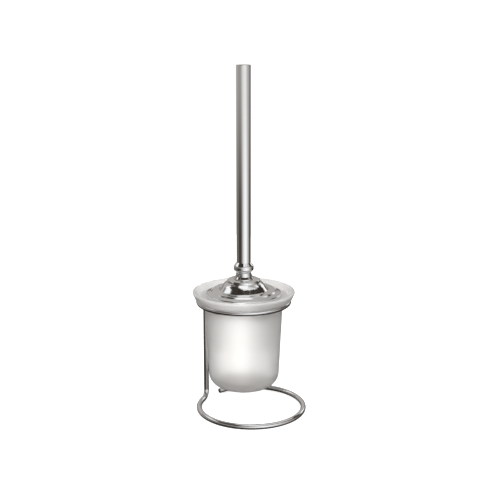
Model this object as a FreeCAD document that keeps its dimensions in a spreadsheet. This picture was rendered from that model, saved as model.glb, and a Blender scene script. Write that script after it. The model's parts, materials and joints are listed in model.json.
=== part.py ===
import FreeCAD, Part
import Sketcher
import math
import os

# Toilet brush holder: a bent wire stand, a flared glass cup that hangs in the stand's ring, and a
# brush whose lid, collar and tube handle rest on the cup. Millimetres, +Z up. The origin is on the
# floor, under the common axis of the support ring, the cup and the handle. The stand's leg is at +Y.

# Driving sizes. Heights are above the foot of the piece they belong to, unless they say otherwise.
SIZES = {
    # stand
    "wire_dia": 6.0,
    "support_radius": 51.2,         # centre line of the ring that carries the cup
    "support_height": 128.65,       # centre line of that ring above the floor
    "loop_radius": 60.3,            # centre line of the loop on the floor
    "foot_bend": 9.0,               # centre-line bend radius where the loop turns up into the leg
    "loop_gap": 21.0,               # degrees between the leg and the loop's free end
    "wire_end_bevel": 0.6,
    "leg_shy": 1.0,                 # the leg stops this far under the ring's centre line
    "weld_reach": 1.5,              # how far the weld bead stands out from the leg
    "weld_drop": 5.2,               # how far it runs down the leg from the ring's centre line
    "weld_wrap": 240.0,             # degrees of the leg that it covers, open towards the cup
    # glass cup
    "cup_bottom": 28.0,             # above the floor
    "cup_base_radius": 39.6,
    "cup_draft": 2.8,               # degrees
    "cup_round": 16.3,
    "cup_flare": 20.0,              # degrees from upright, where the wall opens over the ring
    "cup_flare_round": 20.0,
    "seat_gap": 0.35,               # clearance of the cup over the ring
    "brim_radius": 54.8,            # outer edge of the shelf that lies over the ring
    "brim_round": 1.6,
    "lip_radius": 59.1,             # where the rim's outer side would meet its top, before rounding
    "lip_height": 113.2,
    "lip_round": 1.95,
    "lip_width": 4.6,
    "well_radius": 50.9,            # foot of the rim's inner side
    "well_height": 106.9,
    "well_round": 3.0,
    "ledge_height": 105.5,          # inner shelf that carries the lid
    "ledge_round": 1.5,
    "bore_radius": 36.9,            # inner wall, carried down to the cup's underside
    "bore_draft": 2.0,              # degrees
    "cup_floor": 5.2,
    "floor_round": 13.0,
    # lid, a spun sheet
    "lid_bottom": 134.0,            # above the floor
    "sheet_thick": 1.2,
    "rim_radius": 42.8,
    "rim_height": 4.9,
    "rim_round": 1.6,
    "crease_radius": 37.2,
    "crease_height": 6.6,
    "swell_radius": 35.0,
    "swell_height": 8.3,
    "swell_round": 2.0,
    "bell_radius": 27.8,
    "bell_foot_round": 1.6,
    "bell_shoulder_radius": 22.8,
    "bell_shoulder_height": 14.9,
    "bell_round": 15.0,
    "waist_radius": 19.4,
    "waist_height": 17.5,
    "crease_round": 0.7,
    "deck_radius": 17.9,
    "deck_height": 20.4,
    "deck_round": 1.5,
    "rod_clearance": 0.2,
    # turned collar between lid and handle
    "foot_radius": 11.6,
    "foot_thick": 1.5,
    "foot_round": 0.4,
    "flare_foot": 11.1,
    "flare_radius": 9.7,
    "flare_height": 3.8,
    "flare_round": 1.5,
    "neck_radius": 8.6,
    "neck_low": 6.4,
    "neck_low_round": 1.6,
    "neck_high": 8.5,
    "neck_high_round": 1.2,
    "bead_radius": 11.3,
    "bead_low": 10.1,
    "bead_high": 15.6,
    "bead_round": 3.2,
    "shoulder_height": 19.6,
    "spigot_length": 12.0,
    "spigot_bevel": 0.6,
    "thread_depth": 16.0,
    # handle
    "tube_dia": 16.0,
    "tube_wall": 1.0,
    "tube_length": 216.6,
    "cap_thick": 1.6,
    "cap_round": 0.5,
    "plug_length": 8.0,
    # rod, nut, washer, sleeve
    "rod_dia": 8.0,
    "rod_bevel": 0.8,
    "rod_end_gap": 1.0,             # left over the rod's top in the collar's threaded hole
    "washer_radius": 8.0,
    "washer_thick": 1.6,
    "nut_across": 13.0,
    "nut_thick": 6.5,
    "nut_bevel": 0.9,
    "sleeve_radius": 6.0,
    "sleeve_length": 11.1,
    # brush head
    "head_radius": 12.0,
    "head_nose": 11.7,
    "head_shoulder": 62.0,
    "head_length": 70.0,
    "head_neck": 7.5,
    "head_round": 2.5,
    "socket_depth": 26.0,
    "thread_run": 25.0,             # length of rod inside the head
    "tuft_hole_radius": 1.75,
    "tuft_hole_depth": 4.6,
    "drill_overrun": 1.0,           # how far each hole's cutter starts outside the core
    "tuft_root_radius": 1.7,
    "tuft_root_depth": 4.0,
    "tuft_root_stand": 1.0,         # a tuft starts to open this far outside the core
    "tuft_tip_radius": 4.2,
    "tuft_tip_round": 2.0,
    "brush_radius": 35.0,
    "row_first": 12.0,
    "row_pitch": 8.0,
    "tufts_per_row": 12,
    "cheek_angle": 45.0,            # degrees below level of the tufts round the nose
    "cheek_reach": 31.0,
    "cheek_tufts": 8,
    "nose_angle": 72.0,
    "nose_reach": 24.0,
    "nose_tip_radius": 2.6,
    "nose_tufts": 3,
    "anchor_width": 3.0,
    "anchor_height": 1.2,
    "anchor_thick": 0.5,
}
ROWS = 7
SAME_SIZE = 1e-6                    # two measured sizes that differ by less are the same

doc = FreeCAD.newDocument("toilet_brush_holder")
sheet = doc.addObject("Spreadsheet::Sheet", "sizes")
for line, (alias, size) in enumerate(SIZES.items(), start=1):
    sheet.set(f"A{line}", str(size))
    sheet.setAlias(f"A{line}", alias)
doc.recompute()

subparts = []


# ---------------------------------------------------------------- helpers

def number(owner, expression):
    """The value of an expression on the sheet's sizes."""
    return float(owner.evalExpression(str(expression)))


def place(across="0", up="0", out="0", axis="0; 0; 1", angle="0"):
    """A placement expression from three distances and a turn in degrees about an axis."""
    return f"placement(vector({across}; {up}; {out}); rotation(vector({axis}); {angle}))"


def new_body(label, height="0"):
    """A body whose foot is at a height above the floor."""
    body = doc.addObject("PartDesign::Body", label)
    body.Label = label
    body.setExpression("Placement", place(out=height))
    return body


def keep(shape_object):
    """Marks an object as a sub-part to export."""
    subparts.append(shape_object)
    return shape_object


def origin_feature(body, role):
    return next(feature for feature in body.Origin.OriginFeatures if feature.Role == role)


def new_sketch(body, name, plane="XZ_Plane", offset=None):
    """A sketch on one of the body's origin planes. offset is a placement expression within it."""
    sketch = body.newObject("Sketcher::SketchObject", f"{body.Name}_{name}")
    sketch.AttachmentSupport = [(origin_feature(body, plane), "")]
    sketch.MapMode = "FlatFace"
    if offset:
        sketch.setExpression("AttachmentOffset", offset)
    return sketch


def bind(sketch, kind, *where, size):
    """Adds a dimension and ties it to an expression."""
    index = sketch.addConstraint(Sketcher.Constraint(kind, *where, number(sketch, size)))
    sketch.setExpression(f"Constraints[{index}]", str(size))


def pin(sketch, geometry, point, across, up):
    """Ties a point of the sketch to two expressions, or to an axis where one is zero."""
    for kind, axis, size in (("DistanceX", -2, across), ("DistanceY", -1, up)):
        if str(size) == "0":
            sketch.addConstraint(Sketcher.Constraint("PointOnObject", geometry, point, axis))
        else:
            bind(sketch, kind, -1, 1, geometry, point, size=size)


def draw_circle(sketch, across, up, radius):
    centre = FreeCAD.Vector(number(sketch, across), number(sketch, up), 0)
    circle = Part.Circle(centre, FreeCAD.Vector(0, 0, 1), number(sketch, radius))
    index = sketch.addGeometry(circle, False)
    pin(sketch, index, 3, across, up)
    bind(sketch, "Radius", index, size=radius)


def draw_outline(sketch, corners, closed=True):
    """An outline of straight sides. A corner is (across, up) or (across, up, rounding)."""
    count = len(corners)
    points = [FreeCAD.Vector(number(sketch, c[0]), number(sketch, c[1]), 0) for c in corners]
    rounding = [number(sketch, c[2]) if len(c) > 2 else 0.0 for c in corners]
    trims = []
    for i, point in enumerate(points):
        back = (points[i - 1] - point).normalize()
        ahead = (points[(i + 1) % count] - point).normalize()
        reach = rounding[i] / math.tan(back.getAngle(ahead) / 2)
        trims.append((point + back * reach, point + ahead * reach))
    sides = []
    for i in range(count if closed else count - 1):
        side = Part.LineSegment(trims[i][1], trims[(i + 1) % count][0])
        sides.append(sketch.addGeometry(side, False))
    if not closed:
        pin(sketch, sides[0], 1, corners[0][0], corners[0][1])
        pin(sketch, sides[-1], 2, corners[-1][0], corners[-1][1])
    for i, corner in enumerate(corners):
        if not closed and i in (0, count - 1):
            continue
        before, after = sides[i - 1], sides[i]
        if not rounding[i]:
            sketch.addConstraint(Sketcher.Constraint("Coincident", before, 2, after, 1))
            pin(sketch, after, 1, corner[0], corner[1])
            continue
        arc, first, last = add_corner_arc(sketch, points[i], trims[i], rounding[i])
        sketch.addConstraint(Sketcher.Constraint("Tangent", before, 2, arc, first))
        sketch.addConstraint(Sketcher.Constraint("Tangent", arc, last, after, 1))
        bind(sketch, "Radius", arc, size=corner[2])
        vertex = sketch.addGeometry(Part.Point(points[i]), True)
        pin(sketch, vertex, 1, corner[0], corner[1])
        sketch.addConstraint(Sketcher.Constraint("PointOnObject", vertex, 1, before))
        sketch.addConstraint(Sketcher.Constraint("PointOnObject", vertex, 1, after))


def add_corner_arc(sketch, corner, trim, radius):
    """The arc that rounds a corner, with the names of its ends in the outline's direction."""
    start, end = trim
    middle = (start + end) * 0.5
    half_chord = (end - start).Length / 2
    outward = (middle - corner).normalize()
    centre = middle + outward * math.sqrt(max(radius ** 2 - half_chord ** 2, 0.0))
    left_turn = (corner - start).cross(end - corner).z > 0
    first, last = (start, end) if left_turn else (end, start)
    circle = Part.Circle(centre, FreeCAD.Vector(0, 0, 1), radius)
    arc = Part.ArcOfCircle(circle, circle.parameter(first), circle.parameter(last))
    index = sketch.addGeometry(arc, False)
    return (index, 1, 2) if left_turn else (index, 2, 1)


def solid_volume(body):
    doc.recompute()
    return body.Shape.Volume if body.Shape.Solids else 0.0


def add_feature(body, kind, name, sketch, cuts=False, **settings):
    """A PartDesign feature made from a sketch. A cut has to take something away."""
    volume = solid_volume(body)
    feature = body.newObject(f"PartDesign::{kind}", f"{body.Name}_{name}")
    feature.Profile = sketch
    for setting, value in settings.items():
        if isinstance(value, str):
            feature.setExpression(setting, value)
        else:
            setattr(feature, setting, value)
    body.Tip = feature
    change = solid_volume(body) - volume
    if (change >= 0) if cuts else (change <= 0):
        raise RuntimeError(f"{feature.Name} changed the volume by {change:.3f}")
    return feature


def revolve(body, name, sketch, axis="V_Axis", kind="Revolution", **settings):
    settings.setdefault("Angle", 360.0)
    return add_feature(
        body, kind, name, sketch, cuts=kind == "Groove", ReferenceAxis=(sketch, [axis]), **settings
    )


def pad(body, name, sketch, length):
    return add_feature(body, "Pad", name, sketch, Length=length)


def ring_pattern(body, name, feature, count):
    """Repeats a feature evenly about the body's Z axis."""
    pattern = body.newObject("PartDesign::PolarPattern", f"{body.Name}_{name}")
    pattern.Originals = [feature]
    pattern.Axis = (origin_feature(body, "Z_Axis"), [""])
    pattern.Angle = 360.0
    pattern.setExpression("Occurrences", count)
    body.Tip = pattern
    doc.recompute()
    return pattern


def bevel(body, name, edge, size):
    """A chamfer on a named edge of the body's tip."""
    doc.recompute()
    base = body.Tip
    feature = body.newObject("PartDesign::Chamfer", f"{body.Name}_{name}")
    feature.Base = (base, [edge])
    feature.setExpression("Size", size)
    body.Tip = feature
    doc.recompute()


def turned_piece(label, height, corners):
    """A piece of revolution about Z from an outline of (radius, height) corners."""
    body = new_body(label, height)
    sketch = new_sketch(body, "outline")
    draw_outline(sketch, corners)
    revolve(body, "turning", sketch)
    return keep(body)


def drilled_disc(label, height, outer, inner, thick):
    """A flat ring or a length of tube."""
    body = new_body(label, height)
    sketch = new_sketch(body, "section", "XY_Plane")
    draw_circle(sketch, "0", "0", outer)
    draw_circle(sketch, "0", "0", inner)
    pad(body, "run", sketch, thick)
    return keep(body)


# ---------------------------------------------------------------- stand

WIRE = "sizes.wire_dia / 2"
# The loop's tangent meets the leg after the foot bend, so the loop's centre is set back from the
# ring's axis by OFFSET, and the bend starts LEAD degrees before the leg.
OFFSET = "(sqrt(sizes.loop_radius ^ 2 + sizes.foot_bend ^ 2) - sizes.support_radius)"
LEAD = "atan(sizes.foot_bend / sizes.loop_radius) / 1 deg"
LEG_FOOT = "(sizes.wire_dia / 2 + sizes.foot_bend)"


def cut_saddle(body):
    """Takes the support ring's wire out of a piece that meets it from below."""
    sketch = new_sketch(body, "ring_section", "YZ_Plane")
    draw_circle(sketch, "sizes.support_radius", "sizes.support_height", WIRE)
    revolve(body, "saddle", sketch, kind="Groove")


def free_end_rim(body):
    """The name of the round edge at the loop's free end, which lies further along +X."""
    doc.recompute()
    rims = []
    for index, edge in enumerate(body.Tip.Shape.Edges, start=1):
        if not isinstance(edge.Curve, Part.Circle):
            continue
        if abs(edge.Curve.Radius - number(body, WIRE)) < SAME_SIZE:
            rims.append((edge.CenterOfMass.x, f"Edge{index}"))
    return max(rims)[1]


def make_base_wire():
    """One wire: an open loop on the floor that bends up into the leg under the ring."""
    body = new_body("base_wire")
    radial_plane = place(out=OFFSET, axis="0; 1; 0", angle=f"90 + {LEAD}")
    loop_section = new_sketch(body, "loop_section", offset=radial_plane)
    draw_circle(loop_section, "sizes.loop_radius", WIRE, WIRE)
    revolve(body, "loop", loop_section, Angle=f"360 - sizes.loop_gap - {LEAD}", Reversed=False)
    bevel(body, "end_bevel", free_end_rim(body), "sizes.wire_end_bevel")

    bend_section = new_sketch(body, "bend_section", offset=radial_plane)
    draw_circle(bend_section, "sizes.loop_radius", WIRE, WIRE)
    height = number(bend_section, LEG_FOOT)
    far = number(bend_section, "sizes.loop_radius")
    hinge = Part.LineSegment(FreeCAD.Vector(0, height, 0), FreeCAD.Vector(far, height, 0))
    line = bend_section.addGeometry(hinge, True)
    pin(bend_section, line, 1, "0", LEG_FOOT)
    pin(bend_section, line, 2, "sizes.loop_radius", LEG_FOOT)
    revolve(body, "foot", bend_section, axis="Axis0", Angle=90.0, Reversed=True)

    leg_section = new_sketch(body, "leg_section", "XY_Plane", place(out=LEG_FOOT))
    draw_circle(leg_section, "0", "sizes.support_radius", WIRE)
    pad(body, "leg", leg_section, f"sizes.support_height - {LEG_FOOT} - sizes.leg_shy")
    cut_saddle(body)
    return keep(body)


def make_support_ring():
    """The closed ring of wire that carries the cup."""
    body = new_body("support_ring")
    sketch = new_sketch(body, "section")
    draw_circle(sketch, "sizes.support_radius", "sizes.support_height", WIRE)
    revolve(body, "ring", sketch)
    return keep(body)


def make_ring_weld():
    """The bead of weld round the outer side of the leg's top, under the ring."""
    body = new_body("ring_weld")
    sketch = new_sketch(body, "section", "YZ_Plane", place(across="sizes.support_radius"))
    top = "(sizes.support_height - sizes.leg_shy)"
    low = "(sizes.support_height - sizes.weld_drop)"
    reach = f"{WIRE} + sizes.weld_reach"
    draw_outline(sketch, [(WIRE, low), (reach, f"{low} + sizes.weld_reach"), (reach, top), (WIRE, top)])
    revolve(body, "bead", sketch, Angle="sizes.weld_wrap", Midplane=True)
    cut_saddle(body)
    return keep(body)


# ---------------------------------------------------------------- cup

def make_glass_cup():
    """The cup: a drafted tumbler that flares over the ring to a shelf and a thick rounded rim."""
    ring = "(sizes.support_height - sizes.cup_bottom)"
    seat = f"({WIRE} + sizes.seat_gap)"
    shelf = f"({ring} + {seat})"
    # The flare's line touches the seat's circle, so its corner with the shelf is set back by this.
    seat_corner = f"(sizes.support_radius - {seat} * tan((90 - sizes.cup_flare) / 2))"
    wall_slope = "tan(sizes.cup_draft)"
    flare_slope = "tan(sizes.cup_flare)"
    flare_foot = (
        f"((sizes.cup_base_radius - {seat_corner} + {shelf} * {flare_slope})"
        f" / ({flare_slope} - {wall_slope}))"
    )

    def bore_at(height):
        return f"sizes.bore_radius + {height} * tan(sizes.bore_draft)"

    return turned_piece("glass_cup", "sizes.cup_bottom", [
        ("0", "0"),
        ("sizes.cup_base_radius", "0", "sizes.cup_round"),
        (f"sizes.cup_base_radius + {flare_foot} * {wall_slope}", flare_foot, "sizes.cup_flare_round"),
        (seat_corner, shelf, seat),
        ("sizes.brim_radius", shelf, "sizes.brim_round"),
        ("sizes.lip_radius", "sizes.lip_height", "sizes.lip_round"),
        ("sizes.lip_radius - sizes.lip_width", "sizes.lip_height", "sizes.lip_round"),
        ("sizes.well_radius", "sizes.well_height", "sizes.well_round"),
        (bore_at("sizes.ledge_height"), "sizes.ledge_height", "sizes.ledge_round"),
        (bore_at("sizes.cup_floor"), "sizes.cup_floor", "sizes.floor_round"),
        ("0", "sizes.cup_floor"),
    ])


# ---------------------------------------------------------------- lid and handle

DECK = "(sizes.lid_bottom + sizes.deck_height)"
ROD = "sizes.rod_dia / 2"
ROD_HOLE = f"({ROD} + sizes.rod_clearance)"
TUBE_FOOT = f"({DECK} + sizes.shoulder_height)"
TUBE_BORE = "(sizes.tube_dia / 2 - sizes.tube_wall)"


def make_lid_shell():
    """The stepped, bell-shaped lid: its outer line, thickened inwards and turned about Z."""
    line = doc.addObject("Sketcher::SketchObject", "lid_line")
    line.Placement = FreeCAD.Placement(FreeCAD.Vector(), FreeCAD.Rotation(FreeCAD.Vector(1, 0, 0), 90))
    draw_outline(line, [
        ("sizes.rim_radius", "0"),
        ("sizes.rim_radius", "sizes.rim_height", "sizes.rim_round"),
        ("sizes.crease_radius", "sizes.crease_height", "sizes.crease_round"),
        ("sizes.swell_radius", "sizes.swell_height", "sizes.swell_round"),
        ("sizes.bell_radius", "sizes.swell_height", "sizes.bell_foot_round"),
        ("sizes.bell_shoulder_radius", "sizes.bell_shoulder_height", "sizes.bell_round"),
        ("sizes.waist_radius", "sizes.waist_height", "sizes.crease_round"),
        ("sizes.deck_radius", "sizes.deck_height", "sizes.deck_round"),
        (ROD_HOLE, "sizes.deck_height"),
    ], closed=False)
    doc.recompute()
    sheet_section = doc.addObject("Part::Offset2D", "lid_section")
    sheet_section.Source = line
    sheet_section.Mode = "Skin"
    sheet_section.Fill = True
    sheet_section.setExpression("Value", "sizes.sheet_thick")
    lid = doc.addObject("Part::Revolution", "lid_shell")
    lid.Source = sheet_section
    lid.Axis = FreeCAD.Vector(0, 0, 1)
    lid.Angle = 360.0
    lid.Solid = True
    lid.setExpression("Placement", place(out="sizes.lid_bottom"))
    return keep(lid)


def make_handle_collar():
    """The turned collar: foot, flare, neck, bead, and a spigot pressed into the tube above."""
    spigot_top = "sizes.shoulder_height + sizes.spigot_length"
    return turned_piece("handle_collar", DECK, [
        (ROD, "0"),
        ("sizes.foot_radius", "0"),
        ("sizes.foot_radius", "sizes.foot_thick", "sizes.foot_round"),
        ("sizes.flare_foot", "sizes.foot_thick"),
        ("sizes.flare_radius", "sizes.flare_height", "sizes.flare_round"),
        ("sizes.neck_radius", "sizes.neck_low", "sizes.neck_low_round"),
        ("sizes.neck_radius", "sizes.neck_high", "sizes.neck_high_round"),
        ("sizes.bead_radius", "sizes.bead_low", "sizes.bead_round"),
        ("sizes.bead_radius", "sizes.bead_high", "sizes.bead_round"),
        ("sizes.tube_dia / 2", "sizes.shoulder_height"),
        (TUBE_BORE, "sizes.shoulder_height"),
        (TUBE_BORE, f"{spigot_top} - sizes.spigot_bevel"),
        (f"{TUBE_BORE} - sizes.spigot_bevel", spigot_top),
        ("0", spigot_top),
        ("0", "sizes.thread_depth"),
        (ROD, "sizes.thread_depth"),
    ])


def make_handle_end_cap():
    """The plug that closes the top of the tube: a disc over a spigot."""
    return turned_piece("handle_end_cap", f"{TUBE_FOOT} + sizes.tube_length", [
        ("0", "-sizes.plug_length"),
        (f"{TUBE_BORE} - sizes.spigot_bevel", "-sizes.plug_length"),
        (TUBE_BORE, "sizes.spigot_bevel - sizes.plug_length"),
        (TUBE_BORE, "0"),
        ("sizes.tube_dia / 2", "0"),
        ("sizes.tube_dia / 2", "sizes.cap_thick", "sizes.cap_round"),
        ("0", "sizes.cap_thick"),
    ])


WASHER_TOP = f"({DECK} - sizes.sheet_thick)"
NUT_TOP = f"({WASHER_TOP} - sizes.washer_thick)"
SLEEVE_TOP = f"({NUT_TOP} - sizes.nut_thick)"
HEAD_TOP = f"({SLEEVE_TOP} - sizes.sleeve_length)"
HEAD_FOOT = f"({HEAD_TOP} - sizes.head_length)"


def make_threaded_rod():
    """The stud that runs from the collar, through the lid and sleeve, into the brush head."""
    foot = f"({HEAD_TOP} - sizes.thread_run)"
    top = f"({DECK} + sizes.thread_depth - sizes.rod_end_gap - {foot})"
    return turned_piece("threaded_rod", foot, [
        ("0", "0"),
        (f"{ROD} - sizes.rod_bevel", "0"),
        (ROD, "sizes.rod_bevel"),
        (ROD, f"{top} - sizes.rod_bevel"),
        (f"{ROD} - sizes.rod_bevel", top),
        ("0", top),
    ])


def make_lid_nut():
    """The hexagon nut that clamps the lid and washer against the collar."""
    body = new_body("lid_nut", f"{SLEEVE_TOP}")
    section = new_sketch(body, "section", "XY_Plane")
    corner_radius = "(sizes.nut_across / sqrt(3))"
    sides = [
        (f"{corner_radius} * cos({60 * i})", f"{corner_radius} * sin({60 * i})") for i in range(6)
    ]
    sides[0] = (sides[0][0], "0")
    sides[3] = (sides[3][0], "0")
    draw_outline(section, sides)
    draw_circle(section, "0", "0", ROD)
    pad(body, "hexagon", section, "sizes.nut_thick")
    flat = "sizes.nut_across / 2"
    wide = "(sizes.nut_across / 2 + 2 * sizes.nut_bevel)"
    for name, face, inner in (
        ("low", "0", "sizes.nut_bevel"),
        ("high", "sizes.nut_thick", "sizes.nut_thick - sizes.nut_bevel"),
    ):
        sketch = new_sketch(body, name)
        draw_outline(sketch, [(flat, face), (wide, face), (wide, inner)])
        revolve(body, f"{name}_bevel", sketch, kind="Groove")
    return keep(body)


# ---------------------------------------------------------------- brush head

NOSE_CENTRE = f"({HEAD_FOOT} + sizes.head_radius)"
# Each set of tufts: name, height of its fan's centre above the floor, degrees below level, turn about
# Z, how far its tips reach from the axis, tip radius, and how many tufts stand round the head.
TUFT_SETS = [
    (
        f"tuft_row_{row + 1}",
        f"{NOSE_CENTRE} + {row} * sizes.row_pitch",
        "0",
        f"{row % 2} * 180 / sizes.tufts_per_row",
        "sizes.brush_radius",
        "sizes.tuft_tip_radius",
        "sizes.tufts_per_row",
    )
    for row in range(ROWS)
]
TUFT_SETS.append((
    "tuft_cheek", NOSE_CENTRE, "sizes.cheek_angle", "180 / sizes.cheek_tufts",
    "sizes.cheek_reach", "sizes.tuft_tip_radius", "sizes.cheek_tufts",
))
TUFT_SETS.append((
    "tuft_nose", NOSE_CENTRE, "sizes.nose_angle", "0",
    "sizes.nose_reach", "sizes.nose_tip_radius", "sizes.nose_tufts",
))


def fan_plane(droop, turn):
    """A sketch offset on the XZ plane, turned about Z and with its first axis drooping."""
    level = f"rotation(vector(0; 1; 0); {turn})"
    return f"placement(vector(0; 0; 0); {level} * rotation(vector(0; 0; 1); -({droop})))"


def make_head_core():
    """The plastic head: a round-nosed plug with a threaded socket and a hole for every tuft."""
    body = turned_piece("head_core", HEAD_FOOT, [
        ("0", "0"),
        ("sizes.head_radius", "0", "sizes.head_nose"),
        ("sizes.head_radius", "sizes.head_shoulder", "sizes.head_round"),
        ("sizes.head_neck", "sizes.head_shoulder + sizes.head_neck / 2", "sizes.head_round"),
        ("sizes.head_neck", "sizes.head_length"),
        (ROD, "sizes.head_length"),
        (ROD, "sizes.head_length - sizes.socket_depth"),
        ("0", "sizes.head_length - sizes.socket_depth"),
    ])
    bottom = "(sizes.head_radius - sizes.tuft_hole_depth)"
    mouth = "sizes.head_radius + sizes.drill_overrun"
    for name, height, droop, turn, *_, count in TUFT_SETS:
        lift = f"{height} - {HEAD_FOOT}"
        plane = f"placement(vector(0; {lift}; 0); rotation(vector(0; 0; 1); 0)) * {fan_plane(droop, turn)}"
        sketch = new_sketch(body, f"{name}_hole", offset=plane)
        draw_outline(sketch, [
            (bottom, "0"),
            (mouth, "0"),
            (mouth, "sizes.tuft_hole_radius"),
            (bottom, "sizes.tuft_hole_radius"),
        ])
        hole = revolve(body, f"{name}_drill", sketch, axis="H_Axis", kind="Groove")
        ring_pattern(body, f"{name}_drills", hole, count)
    return body


def make_tufts(name, height, droop, turn, reach, tip, count):
    """One ring of bristle tufts: each a root in the core that opens to a rounded brush of bristle."""
    body = new_body(name, height)
    sketch = new_sketch(body, "outline", offset=fan_plane(droop, turn))
    root = "(sizes.head_radius - sizes.tuft_root_depth)"
    draw_outline(sketch, [
        (root, "0"),
        (reach, "0"),
        (reach, tip, "sizes.tuft_tip_round"),
        ("sizes.head_radius + sizes.tuft_root_stand", "sizes.tuft_root_radius"),
        (root, "sizes.tuft_root_radius"),
    ])
    tuft = revolve(body, "tuft", sketch, axis="H_Axis")
    ring_pattern(body, "ring", tuft, count)
    return keep(body)


def make_tuft_anchors():
    """The flat wire anchors that hold each tuft at the bottom of its hole, as one group."""
    rings = []
    for name, height, droop, turn, *_, count in TUFT_SETS:
        body = new_body(f"anchor_{name}", height)
        sketch = new_sketch(body, "section", offset=fan_plane(droop, turn))
        bottom = "(sizes.head_radius - sizes.tuft_hole_depth)"
        half = "sizes.anchor_height / 2"
        draw_outline(sketch, [
            (bottom, f"-{half}"),
            (f"{bottom} + sizes.anchor_thick", f"-{half}"),
            (f"{bottom} + sizes.anchor_thick", half),
            (bottom, half),
        ])
        anchor = add_feature(body, "Pad", "anchor", sketch, Length="sizes.anchor_width", Midplane=True)
        ring_pattern(body, "ring", anchor, count)
        rings.append(body)
    group = doc.addObject("Part::Compound", "tuft_anchors")
    group.Links = rings
    return keep(group)


# ---------------------------------------------------------------- the whole holder

make_base_wire()
make_support_ring()
make_ring_weld()
make_glass_cup()
make_lid_shell()
make_handle_collar()
drilled_disc("handle_tube", TUBE_FOOT, "sizes.tube_dia / 2", TUBE_BORE, "sizes.tube_length")
make_handle_end_cap()
make_threaded_rod()
drilled_disc("lid_washer", NUT_TOP, "sizes.washer_radius", ROD_HOLE, "sizes.washer_thick")
make_lid_nut()
drilled_disc("stem_sleeve", HEAD_TOP, "sizes.sleeve_radius", ROD_HOLE, "sizes.sleeve_length")
make_head_core()
for tuft_set in TUFT_SETS:
    make_tufts(*tuft_set)
make_tuft_anchors()
doc.recompute()

for made in doc.Objects:
    if "Invalid" in made.State or "Error" in made.State:
        raise RuntimeError(f"{made.Name} did not rebuild: {made.State}")
for piece in subparts:
    if piece.Shape.isNull() or not piece.Shape.isValid():
        raise RuntimeError(f"{piece.Label} has no valid shape")

os.makedirs("parts", exist_ok=True)
for piece in subparts:
    piece.Shape.exportStep(f"parts/{piece.Label}.step")
    print(f"{piece.Label}: {len(piece.Shape.Solids)} solids, {piece.Shape.Volume / 1000:.2f} cm3")
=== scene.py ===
"""Looks of the toilet brush holder: camera, studio, materials, and the bristles as single filaments."""

import json
import math

import bpy
import numpy as np
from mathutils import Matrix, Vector


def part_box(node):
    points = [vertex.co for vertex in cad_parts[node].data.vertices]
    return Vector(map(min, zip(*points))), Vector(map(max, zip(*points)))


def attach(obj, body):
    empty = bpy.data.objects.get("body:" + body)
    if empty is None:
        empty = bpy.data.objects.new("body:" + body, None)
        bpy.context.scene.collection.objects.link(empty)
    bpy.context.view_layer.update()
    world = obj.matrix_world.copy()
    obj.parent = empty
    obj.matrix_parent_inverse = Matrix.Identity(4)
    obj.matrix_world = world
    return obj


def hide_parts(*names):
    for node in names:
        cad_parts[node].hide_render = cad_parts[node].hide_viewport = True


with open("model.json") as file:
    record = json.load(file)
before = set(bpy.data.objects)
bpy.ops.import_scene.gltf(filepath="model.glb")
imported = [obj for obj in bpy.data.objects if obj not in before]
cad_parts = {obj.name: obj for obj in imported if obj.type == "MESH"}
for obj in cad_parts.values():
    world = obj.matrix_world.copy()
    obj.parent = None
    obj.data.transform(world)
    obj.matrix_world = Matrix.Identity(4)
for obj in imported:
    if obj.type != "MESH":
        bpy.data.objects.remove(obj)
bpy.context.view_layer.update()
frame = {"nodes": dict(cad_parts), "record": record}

nodes = frame["nodes"]


# ---------------------------------------------------------------- camera

VIEW_AZIMUTH = -60.7            # degrees round the object, 0 looks along +Y
VIEW_ELEVATION = 13.39
VIEW_DISTANCE = 1.0713
AIM_HEIGHT = 0.1878             # where the view's middle passes the cup's axis
AIM_RIGHT = 0.0071
LENS_MM = 68.7
CLIP_NEAR, CLIP_FAR = 0.05, 50.0


def from_view(right, ahead, up=0.0):
    """A direction or place given as the camera sees it, right and away, turned into the frame."""
    turn = math.radians(VIEW_AZIMUTH)
    return Vector((
        right * math.cos(turn) - ahead * math.sin(turn),
        right * math.sin(turn) + ahead * math.cos(turn),
        up,
    ))


def make_camera():
    camera = bpy.data.objects.new("camera", bpy.data.cameras.new("camera"))
    bpy.context.scene.collection.objects.link(camera)
    aim = from_view(AIM_RIGHT, 0.0, AIM_HEIGHT)
    tilt = math.radians(VIEW_ELEVATION)
    back = from_view(0.0, -math.cos(tilt), math.sin(tilt))
    camera.location = aim + back * VIEW_DISTANCE
    camera.rotation_mode = "QUATERNION"
    camera.rotation_quaternion = (-back).to_track_quat("-Z", "Y")
    camera.data.lens = LENS_MM
    camera.data.clip_start = CLIP_NEAR
    camera.data.clip_end = CLIP_FAR
    bpy.context.scene.camera = camera


# ---------------------------------------------------------------- node helpers

def new_tree(name):
    material = bpy.data.materials.new(name)
    material.use_nodes = True
    tree = material.node_tree
    shader = next(n for n in tree.nodes if n.type == "BSDF_PRINCIPLED")
    return material, tree, shader


def add_node(tree, kind, inputs=None, **settings):
    """A node with its settings, and its inputs set to values or linked to sockets."""
    node = tree.nodes.new(kind)
    for key, value in settings.items():
        setattr(node, key, value)
    for key, value in (inputs or {}).items():
        if isinstance(value, bpy.types.NodeSocket):
            tree.links.new(value, node.inputs[key])
        else:
            node.inputs[key].default_value = value
    return node


def math_node(tree, operation, *values):
    node = add_node(tree, "ShaderNodeMath", dict(enumerate(values)), operation=operation)
    return node.outputs[0]


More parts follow.
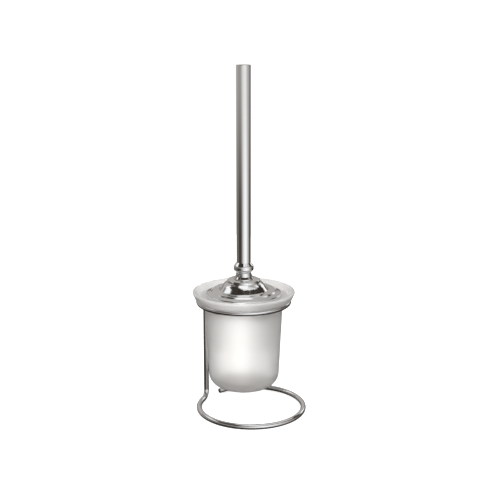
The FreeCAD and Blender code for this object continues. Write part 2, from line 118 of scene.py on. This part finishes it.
def ramp(tree, factor, stops):
    """A colour ramp; a stop is (position, grey) or (position, (r, g, b)), from 0 to 1 in order."""
    node = add_node(tree, "ShaderNodeValToRGB", {"Fac": factor})
    points = node.color_ramp.elements
    for position, _ in stops[1:-1]:
        points.new(position)
    for point, (position, colour) in zip(points, stops):
        point.position = position
        point.color = (*colour, 1.0) if isinstance(colour, tuple) else (colour, colour, colour, 1.0)
    return node.outputs["Color"]


def spread(tree, value, low, high):
    """A 0 to 1 value spread over a range."""
    node = add_node(tree, "ShaderNodeMapRange", {"Value": value, "To Min": low, "To Max": high})
    return node.outputs["Result"]


def fade(tree, value, start, end):
    """0 before start and 1 after end, smoothly."""
    node = add_node(
        tree, "ShaderNodeMapRange", {"Value": value, "From Min": start, "From Max": end},
        interpolation_type="SMOOTHSTEP",
    )
    return node.outputs["Result"]


def mix_value(tree, factor, first, second):
    node = add_node(
        tree, "ShaderNodeMix", {"Factor": factor, "A": first, "B": second}, data_type="FLOAT"
    )
    return node.outputs["Result"]


def mix_colour(tree, factor, first, second):
    """The colour sockets of a Mix node are given by number, as its value sockets have the same names."""
    node = add_node(
        tree, "ShaderNodeMix", {"Factor": factor, 6: first, 7: second}, data_type="RGBA"
    )
    return node.outputs[2]


def noise(tree, scale, detail, vector):
    inputs = {"Scale": scale, "Detail": detail, "Vector": vector}
    return add_node(tree, "ShaderNodeTexNoise", inputs).outputs["Fac"]


def place_vector(tree, scale=(1.0, 1.0, 1.0)):
    """Object coordinates, which ride with the piece, stretched."""
    coordinates = add_node(tree, "ShaderNodeTexCoord").outputs["Object"]
    return add_node(tree, "ShaderNodeMapping", {"Vector": coordinates, "Scale": scale}).outputs[0]


def bump(tree, shader, height, strength, distance):
    node = add_node(tree, "ShaderNodeBump", {"Height": height, "Strength": strength, "Distance": distance})
    tree.links.new(node.outputs["Normal"], shader.inputs["Normal"])


# ---------------------------------------------------------------- materials

CHROME_TONE = 0.80
CHROME_CLOUD = (0.97, 0.975, 0.985)     # a cloudy patch's colour, as shares of the tone

# Heights and radii in metres where the cup's finish changes, from no effect to full effect: the clearer
# low wall, and the base disc, which is painted shade standing for the grey of the cup's shaded inner
# floor.
CLEAR_WALL = (0.074, 0.046)
BASE_SHADE_RADIUS = (0.0315, 0.0270)
BASE_SHADE_TOP = (0.0375, 0.0355)
# How much light passes: through the etched wall, through the clear wall and through the base disc of
# painted shade.
WALL_PASSES, CLEAR_PASSES, BASE_SHADE_PASSES = 0.6, 0.95, 0.5
# Colour and roughness of the base disc, painted shade of the inner floor seen through the wall.
BASE_SHADE_COLOUR = (0.96, 0.945, 0.925, 1.0)
BASE_SHADE_ROUGHNESS = 0.4
GLASS_IOR = 1.5


def chrome(name, polish=0.02, waviness=0.01):
    """Bright chrome plate: a mirror with faint cloudiness, water marks and the polisher's waviness."""
    material, tree, shader = new_tree(name)
    place = place_vector(tree)
    clouds = noise(tree, 40.0, 4.0, place)
    marks = noise(tree, 220.0, 2.0, place)
    cloudy = tuple(CHROME_TONE * share for share in CHROME_CLOUD)
    tint = ramp(tree, clouds, [(0.3, cloudy), (0.7, CHROME_TONE)])
    tree.links.new(tint, shader.inputs["Base Color"])
    shader.inputs["Metallic"].default_value = 1.0
    haze = math_node(tree, "MULTIPLY_ADD", marks, 0.35, clouds)
    tree.links.new(spread(tree, haze, polish * 0.6, polish * 1.6), shader.inputs["Roughness"])
    bump(tree, shader, noise(tree, 55.0, 1.0, place), strength=waviness, distance=0.0006)
    return material


def zinc_steel(name):
    """Zinc-plated steel with turning marks round Z."""
    material, tree, shader = new_tree(name)
    rings = noise(tree, 600.0, 2.0, place_vector(tree, (0.02, 0.02, 1.0)))
    tree.links.new(ramp(tree, rings, [(0.3, 0.52), (0.7, 0.66)]), shader.inputs["Base Color"])
    shader.inputs["Metallic"].default_value = 1.0
    tree.links.new(spread(tree, rings, 0.22, 0.38), shader.inputs["Roughness"])
    bump(tree, shader, rings, strength=0.15, distance=0.0002)
    return material


def frosted_glass(name):
    """Acid-etched glass that hides what stands in it, clearer low on the wall, with a less clear, tinted
    base disc painted in as the shade of the inner floor.
    """
    material, tree, shader = new_tree(name)
    place = place_vector(tree)
    along = add_node(tree, "ShaderNodeSeparateXYZ", {0: place}).outputs
    flat = add_node(tree, "ShaderNodeCombineXYZ", {"X": along["X"], "Y": along["Y"]}).outputs[0]
    radius = add_node(tree, "ShaderNodeVectorMath", {0: flat}, operation="LENGTH").outputs["Value"]
    clear = fade(tree, along["Z"], *CLEAR_WALL)
    # The base disc, painted shade of the cup's inner floor: there the glass is tinted, rougher and lets
    # less light through.
    base_shade = math_node(
        tree, "MULTIPLY", fade(tree, radius, *BASE_SHADE_RADIUS), fade(tree, along["Z"], *BASE_SHADE_TOP)
    )
    cast = noise(tree, 25.0, 2.0, place)
    tint = ramp(tree, cast, [(0.3, (0.905, 0.895, 0.88)), (0.7, (0.94, 0.93, 0.92))])
    tint = mix_colour(tree, base_shade, tint, BASE_SHADE_COLOUR)
    tree.links.new(tint, shader.inputs["Base Color"])
    etch = spread(tree, cast, 0.28, 0.34)
    tree.links.new(mix_value(tree, base_shade, etch, BASE_SHADE_ROUGHNESS), shader.inputs["Roughness"])
    shader.inputs["IOR"].default_value = GLASS_IOR
    wall = mix_value(tree, clear, WALL_PASSES, CLEAR_PASSES)
    tree.links.new(mix_value(tree, base_shade, wall, BASE_SHADE_PASSES), shader.inputs["Transmission Weight"])
    bump(tree, shader, noise(tree, 1400.0, 2.0, place), strength=0.05, distance=0.0002)
    return material


def moulded_plastic(name):
    """White polypropylene with a fine spark-eroded texture."""
    material, tree, shader = new_tree(name)
    place = place_vector(tree)
    tone = noise(tree, 90.0, 3.0, place)
    tint = ramp(tree, tone, [(0.3, (0.80, 0.80, 0.79)), (0.7, (0.86, 0.86, 0.85))])
    tree.links.new(tint, shader.inputs["Base Color"])
    grain = noise(tree, 2500.0, 2.0, place)
    tree.links.new(spread(tree, grain, 0.36, 0.5), shader.inputs["Roughness"])
    shader.inputs["Subsurface Weight"].default_value = 0.15
    shader.inputs["Subsurface Radius"].default_value = (0.002, 0.002, 0.002)
    bump(tree, shader, grain, strength=0.12, distance=0.0001)
    return material


def nylon(name):
    """White nylon filament, darker and a little yellower towards the roots."""
    material, tree, shader = new_tree(name)
    strand = add_node(tree, "ShaderNodeAttribute", attribute_name="strand").outputs["Fac"]
    speckle = noise(tree, 300.0, 2.0, place_vector(tree))
    blend = math_node(tree, "MULTIPLY_ADD", speckle, 0.5, strand)
    tint = ramp(tree, blend, [(0.2, (0.78, 0.77, 0.74)), (0.9, (0.92, 0.92, 0.91))])
    tree.links.new(tint, shader.inputs["Base Color"])
    tree.links.new(spread(tree, speckle, 0.3, 0.45), shader.inputs["Roughness"])
    shader.inputs["Subsurface Weight"].default_value = 0.2
    shader.inputs["Subsurface Radius"].default_value = (0.0008, 0.0008, 0.0008)
    return material


def dress_cad_nodes():
    """Gives every CAD node the material of its slot in the record, and returns the materials."""
    made = {
        "chrome_wire": chrome("chrome_wire"),
        "chrome_lid": chrome("chrome_lid", polish=0.08, waviness=0.004),
        "chrome_handle": chrome("chrome_handle"),
        "steel_stem": zinc_steel("steel_stem"),
        "anchor_wire": zinc_steel("anchor_wire"),
        "frosted_glass": frosted_glass("frosted_glass"),
        "white_plastic": moulded_plastic("white_plastic"),
        "bristle": nylon("bristle"),
    }
    for part in frame["record"]["subparts"]:
        piece = nodes[part["node"]]
        for slot in piece.material_slots:
            slot.material = made[part["material_slot"]]
    # Mirrors don't show these two, so that no dark streak of the handle lies across the lid.
    for name in ("handle_tube", "handle_collar"):
        nodes[name].visible_glossy = False
    return made


# ---------------------------------------------------------------- bristles

FILAMENTS = 42                  # in one tuft
FILAMENT_RADIUS = 0.00022       # at the root
FILAMENT_SIDES = 4
FILAMENT_RINGS = 7
TAPER = 0.35                    # part of its radius that a filament loses towards the tip
SHORTFALL = 0.035               # part of its length that a filament may be short by
UNEVENNESS = 0.05               # of a filament's place in its tuft, as a share of the tuft's radius
CRIMP = 0.00035                 # how far a filament wanders from its line
CRIMP_WAVES = (2.5, 4.0)        # fewest and most along one filament
LEAN = 0.0007                   # how far a tip usually leans over
FAN_POWER = 1.25                # above 1, a tuft opens more towards its tips
ROOT_INSET = 0.0015             # how deep a tuft starts inside the head
ROOT_SPREAD = 0.00145           # radius of a tuft at its root

# Radius of a tuft at its tips: spread for the filaments, solid for the CAD tuft that they replace.
TUFT_TIP = {"spread": 0.0048, "solid": 0.0042}
NOSE_TIP = {"spread": 0.0030, "solid": 0.0026}

ROW_TUFTS, ROW_STAGGER = 12, math.radians(15)
CHEEK_TUFTS, CHEEK_DROOP, CHEEK_TURN, CHEEK_SEED = 8, math.radians(45), math.radians(22.5), 20
NOSE_TUFTS, NOSE_DROOP, NOSE_TURN, NOSE_SEED = 3, math.radians(72), 0.0, 21


def bundle(rng, root, way, length, tip_spread):
    """The filaments of one tuft: middle lines, lightly crimped, that fan outwards, and two sides."""
    side = way.orthogonal().normalized()
    other = way.cross(side)
    steps = np.linspace(0.0, 1.0, FILAMENT_RINGS)
    golden = math.pi * (3 - math.sqrt(5))
    fan = ROOT_SPREAD + (tip_spread - ROOT_SPREAD) * steps ** FAN_POWER
    lines = []
    for i in range(FILAMENTS):
        share = math.sqrt((i + 0.5) / FILAMENTS)
        angle = i * golden
        across = share * math.cos(angle) + rng.normal(0, UNEVENNESS)
        up = share * math.sin(angle) + rng.normal(0, UNEVENNESS)
        reach = length * (1 + rng.uniform(-SHORTFALL, 0.0))
        phase, waves = rng.uniform(0, 2 * math.pi), rng.uniform(*CRIMP_WAVES)
        wander = CRIMP * steps * np.sin(waves * 2 * math.pi * steps + phase)
        lean = rng.normal(0, LEAN) * steps ** 2
        line = (
            np.outer(steps * reach, way)
            + np.outer(across * fan + wander + lean, side)
            + np.outer(up * fan + wander * math.cos(phase), other)
        )
        lines.append(np.array(root) + line)
    return lines, np.array(side), np.array(other)


def filament_mesh(name, filaments):
    """One mesh of thin closed tubes, with how far along its filament each vertex lies."""
    points, faces, along = [], [], []
    around = np.linspace(0, 2 * math.pi, FILAMENT_SIDES, endpoint=False)
    for line, side, other in filaments:
        start = len(points)
        for ring, centre in enumerate(line):
            share = ring / (FILAMENT_RINGS - 1)
            radius = FILAMENT_RADIUS * (1.0 - TAPER * share)
            for angle in around:
                points.append(centre + (side * math.cos(angle) + other * math.sin(angle)) * radius)
                along.append(share)
        for ring in range(FILAMENT_RINGS - 1):
            for k in range(FILAMENT_SIDES):
                a = start + ring * FILAMENT_SIDES + k
                b = start + ring * FILAMENT_SIDES + (k + 1) % FILAMENT_SIDES
                faces.append((a, b, b + FILAMENT_SIDES, a + FILAMENT_SIDES))
        last = start + (FILAMENT_RINGS - 1) * FILAMENT_SIDES
        faces.append(tuple(start + k for k in reversed(range(FILAMENT_SIDES))))
        faces.append(tuple(last + k for k in range(FILAMENT_SIDES)))
    mesh = bpy.data.meshes.new(name)
    mesh.from_pydata(points, [], faces)
    strand = mesh.attributes.new("strand", "FLOAT", "POINT")
    strand.data.foreach_set("value", along)
    mesh.shade_smooth()
    return mesh


def make_bristles(node, count, droop, turn, tip, material, seed):
    """Single filaments in place of one CAD ring of tufts, which droop by an angle from level."""
    low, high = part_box(node)
    head_low, head_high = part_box("head_core")
    core = (head_high.x - head_low.x) / 2
    if droop:
        centre_up = head_low.z + core
        length = (centre_up - low.z - tip["solid"] * math.cos(droop)) / math.sin(droop) - core
    else:
        centre_up = (low.z + high.z) / 2
        length = max(high.x, high.y) - core
    centre = Vector((0.0, 0.0, centre_up))
    rng = np.random.default_rng(seed)
    filaments = []
    for i in range(count):
        angle = turn + 2 * math.pi * i / count
        way = Vector((
            math.cos(angle) * math.cos(droop),
            math.sin(angle) * math.cos(droop),
            -math.sin(droop),
        ))
        root = centre + way * (core - ROOT_INSET)
        lines, side, other = bundle(rng, root, way, length + ROOT_INSET, tip["spread"])
        filaments.extend((line, side, other) for line in lines)
    name = node.replace("tuft", "bristles")
    piece = bpy.data.objects.new(name, filament_mesh(name, filaments))
    bpy.context.scene.collection.objects.link(piece)
    piece.data.materials.append(material)
    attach(piece, "brush")
    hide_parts(node)


def make_all_bristles(material):
    rows = sum(name.startswith("tuft_row_") for name in nodes)
    for row in range(rows):
        turn = row % 2 * ROW_STAGGER
        make_bristles(f"tuft_row_{row + 1}", ROW_TUFTS, 0.0, turn, TUFT_TIP, material, seed=row)
    make_bristles("tuft_cheek", CHEEK_TUFTS, CHEEK_DROOP, CHEEK_TURN, TUFT_TIP, material, CHEEK_SEED)
    make_bristles("tuft_nose", NOSE_TUFTS, NOSE_DROOP, NOSE_TURN, NOSE_TIP, material, NOSE_SEED)


# ---------------------------------------------------------------- studio

# Brightness of the tent round the object, by azimuth from the camera's side, positive to its right:
# the wall, a band of it at the horizon, and the ceiling.
WALL = [
    (-180, 0.10), (-155, 0.14), (-122, 0.20), (-93, 0.15), (-72, 0.05), (-53, 0.045), (-35, 0.10),
    (-19, 0.43), (-2, 0.83), (14, 1.08), (30, 1.2), (47, 1.07), (66, 0.71), (86, 0.40), (107, 0.07),
    (130, 0.05), (155, 0.10), (180, 0.10),
]
HORIZON = [
    (-180, 0.30), (-150, 0.45), (-120, 0.45), (-72, 0.36), (-53, 0.36), (-35, 0.46), (-19, 0.75),
    (14, 0.95), (30, 0.97), (47, 0.8), (66, 0.55), (86, 0.48), (111, 0.25), (130, 0.15), (180, 0.30),
]
CEILING = [
    (-180, 0.52), (-150, 0.50), (-120, 0.30), (-90, 0.30), (-42, 0.5), (-25, 0.9), (0, 1.0),
    (50, 1.1), (65, 0.8), (85, 0.9), (105, 0.5), (130, 0.8), (147, 0.75), (165, 0.55), (180, 0.52),
]
BRIGHTEST = 1.2
ZENITH = 1.15
SKIRT = 0.22                    # of the wall below the horizon, as a share of the wall above it
UNDER_FLOOR = 0.03

# Elevations in degrees over which one of them gives way to the next.
HORIZON_STARTS, HORIZON_ENDS = (-13.0, -2.0), (2.0, 8.0)
CEILING_STARTS = (41.0, 46.0)
ZENITH_STARTS = (73.0, 77.0)
SKIRT_STARTS = (-16.5, -21.5)
UNDER_FLOOR_STARTS = (-30.0, -50.0)

# Flat cards in front of the tent: azimuth range, elevation range, softness in degrees, brightness.
CARDS = [
    ((-180, -128), (12, 44), 4, 0.50),
    ((138, 180), (12, 44), 4, 0.45),
    ((-124, -86), (30, 41), 6, 1.15),
    ((-122, -116), (41, 47), 2.5, 1.1),
    ((130, 148), (12, 26), 4, 1.15),
    ((-75, -35), (10, 24), 4, 0.28),
    ((-112, -36), (46, 71), 3, 0.04),
    ((-42, -8), (44, 67), 3, 0.03),
    ((-12, 40), (44, 60.5), 3, 0.03),
    ((36, 62), (40, 55), 3, 0.035),
    ((60, 76), (40, 52), 3, 0.035),
    ((74, 92), (37, 46), 3, 0.035),
    ((90, 119), (30, 42), 3, 0.035),
    ((106, 122), (24, 34), 3, 0.035),
    ((114, 124), (42, 48), 3, 1.1),
    ((100, 120), (57, 74), 4, 0.45),
    ((-138, -120), (49, 73), 3, 0.12),
    ((142, 156), (39, 46), 3, 0.08),
]

# Light on matt surfaces from the bright side, from the shaded side and from below.
BRIGHT_SIDE, SHADED_SIDE, SHADE_STARTS = 1.02, 0.55, (-20.0, -85.0)
FROM_BELOW, BELOW_STARTS = 0.22, (8.0, -12.0)
# The white background, and how dark it gets straight below where glass shows it.
BACKDROP = 1.05
BACKDROP_FOOT, FOOT_STARTS = 0.15, (-42.0, -65.0)
WARMTH = 0.05                   # of the dark tones: red is raised and blue lowered by this power

# Lamps: size, watts, place right of, before and above the origin, height aimed at, beam angle.
LAMPS = {
    "key": ((0.6, 0.6), 8.0, (-0.1, 0.9, 1.0), 0.1, math.pi),
    "strip": ((0.05, 0.10), 0.018, (-0.016, 0.11, 0.087), 0.085, math.radians(50)),
}

FLOOR_HALF = 0.8
FLOOR_COLOUR = (0.95, 0.95, 0.95, 1.0)
FLOOR_ROUGHNESS = 0.9
FLOOR_GLOW = 0.6


def direction_angles(tree):
    """Azimuth from the camera's side, positive to its right, and elevation, both in degrees."""
    direction = add_node(tree, "ShaderNodeTexCoord").outputs["Generated"]
    turned = add_node(
        tree, "ShaderNodeVectorRotate",
        {"Vector": direction, "Angle": -math.radians(VIEW_AZIMUTH)},
        rotation_type="Z_AXIS",
    ).outputs[0]
    split = add_node(tree, "ShaderNodeSeparateXYZ", {0: turned})
    toward = math_node(tree, "MULTIPLY", split.outputs["Y"], -1.0)
    azimuth = math_node(tree, "ARCTAN2", split.outputs["X"], toward)
    elevation = math_node(tree, "ARCSINE", split.outputs["Z"])
    return math_node(tree, "DEGREES", azimuth), math_node(tree, "DEGREES", elevation)


def profile(tree, azimuth, levels):
    """Brightness by azimuth, from a list of (degrees, brightness)."""
    turn = add_node(
        tree, "ShaderNodeMapRange", {"Value": azimuth, "From Min": -180.0, "From Max": 180.0}
    ).outputs["Result"]
    stops = [((degrees + 180) / 360, level / BRIGHTEST) for degrees, level in levels]
    return math_node(tree, "MULTIPLY", ramp(tree, turn, stops), BRIGHTEST)


def within(tree, value, low, high, soft):
    """1 inside a range of degrees, falling to 0 over soft degrees outside it, all round the circle."""
    middle, half = (low + high) / 2, (high - low) / 2
    away = math_node(tree, "WRAP", math_node(tree, "SUBTRACT", value, middle), 180.0, -180.0)
    away = math_node(tree, "ABSOLUTE", away)
    node = add_node(
        tree, "ShaderNodeMapRange",
        {"Value": away, "From Min": half, "From Max": half + soft, "To Min": 1.0, "To Max": 0.0},
        interpolation_type="SMOOTHSTEP",
    )
    return node.outputs["Result"]


def tent_level(tree, azimuth, elevation):
    """Brightness of the tent and its cards, which the metal mirrors."""
    level = profile(tree, azimuth, WALL)
    band = math_node(
        tree, "MULTIPLY", fade(tree, elevation, *HORIZON_STARTS),
        math_node(tree, "SUBTRACT", 1.0, fade(tree, elevation, *HORIZON_ENDS)),
    )
    level = mix_value(tree, band, level, profile(tree, azimuth, HORIZON))
    ceiling = profile(tree, azimuth, CEILING)
    level = mix_value(tree, fade(tree, elevation, *CEILING_STARTS), level, ceiling)
    level = mix_value(tree, fade(tree, elevation, *ZENITH_STARTS), level, ZENITH)
    for azimuths, elevations, soft, brightness in CARDS:
        mask = math_node(
            tree, "MULTIPLY",
            within(tree, elevation, *elevations, soft), within(tree, azimuth, *azimuths, soft),
        )
        level = mix_value(tree, mask, level, brightness)
    dimmer = mix_value(tree, fade(tree, elevation, *SKIRT_STARTS), 1.0, SKIRT)
    level = math_node(tree, "MULTIPLY", level, dimmer)
    return mix_value(tree, fade(tree, elevation, *UNDER_FLOOR_STARTS), level, UNDER_FLOOR)


def make_world():
    """A white tent: patterned for mirrors, soft for matt surfaces, plain to the eye and through glass."""
    world = bpy.data.worlds.new("studio")
    bpy.context.scene.world = world
    world.use_nodes = True
    tree = world.node_tree
    azimuth, elevation = direction_angles(tree)
    side = mix_value(tree, fade(tree, azimuth, *SHADE_STARTS), BRIGHT_SIDE, SHADED_SIDE)
    matt = mix_value(tree, fade(tree, elevation, *BELOW_STARTS), side, FROM_BELOW)
    behind = mix_value(tree, fade(tree, elevation, *FOOT_STARTS), BACKDROP, BACKDROP_FOOT)
    ray = add_node(tree, "ShaderNodeLightPath").outputs
    level = mix_value(tree, ray["Is Diffuse Ray"], tent_level(tree, azimuth, elevation), matt)
    level = mix_value(tree, ray["Is Transmission Ray"], level, behind)
    level = mix_value(tree, ray["Is Camera Ray"], level, BACKDROP)
    colour = add_node(tree, "ShaderNodeCombineColor", {
        "Red": math_node(tree, "POWER", level, 1.0 - WARMTH),
        "Green": level,
        "Blue": math_node(tree, "POWER", level, 1.0 + WARMTH),
    }).outputs[0]
    background = next(n for n in tree.nodes if n.type == "BACKGROUND")
    tree.links.new(colour, background.inputs["Color"])


def make_lamp(name, size, watts, place, aim_height, beam):
    """A soft lamp that the metal doesn't mirror, aimed at the cup's axis."""
    light = bpy.data.lights.new(name, "AREA")
    light.shape = "RECTANGLE"
    light.size, light.size_y = size
    light.energy = watts
    light.spread = beam
    lamp = bpy.data.objects.new(name, light)
    bpy.context.scene.collection.objects.link(lamp)
    right, before, up = place
    lamp.location = from_view(right, -before, up)
    back = lamp.location - Vector((0.0, 0.0, aim_height))
    lamp.rotation_mode = "QUATERNION"
    lamp.rotation_quaternion = back.to_track_quat("Z", "Y")
    lamp.visible_glossy = False
    lamp.visible_camera = False


def make_floor():
    """A pale floor for the eye only: it lights nothing, and isn't mirrored or seen through glass."""
    mesh = bpy.data.meshes.new("floor")
    half = FLOOR_HALF
    corners = [(-half, -half, 0), (half, -half, 0), (half, half, 0), (-half, half, 0)]
    mesh.from_pydata(corners, [], [(0, 1, 2, 3)])
    floor = bpy.data.objects.new("floor", mesh)
    bpy.context.scene.collection.objects.link(floor)
    material, _, shader = new_tree("floor")
    shader.inputs["Base Color"].default_value = FLOOR_COLOUR
    shader.inputs["Roughness"].default_value = FLOOR_ROUGHNESS
    shader.inputs["Emission Color"].default_value = (1.0, 1.0, 1.0, 1.0)
    shader.inputs["Emission Strength"].default_value = FLOOR_GLOW
    floor.data.materials.append(material)
    floor.visible_glossy = False
    floor.visible_diffuse = False
    floor.visible_transmission = False


# ---------------------------------------------------------------- the whole scene

make_camera()
make_world()
for lamp_name, lamp_settings in LAMPS.items():
    make_lamp(lamp_name, *lamp_settings)
make_floor()
materials = dress_cad_nodes()
make_all_bristles(materials["bristle"])

bpy.context.scene.view_settings.view_transform = "Standard"
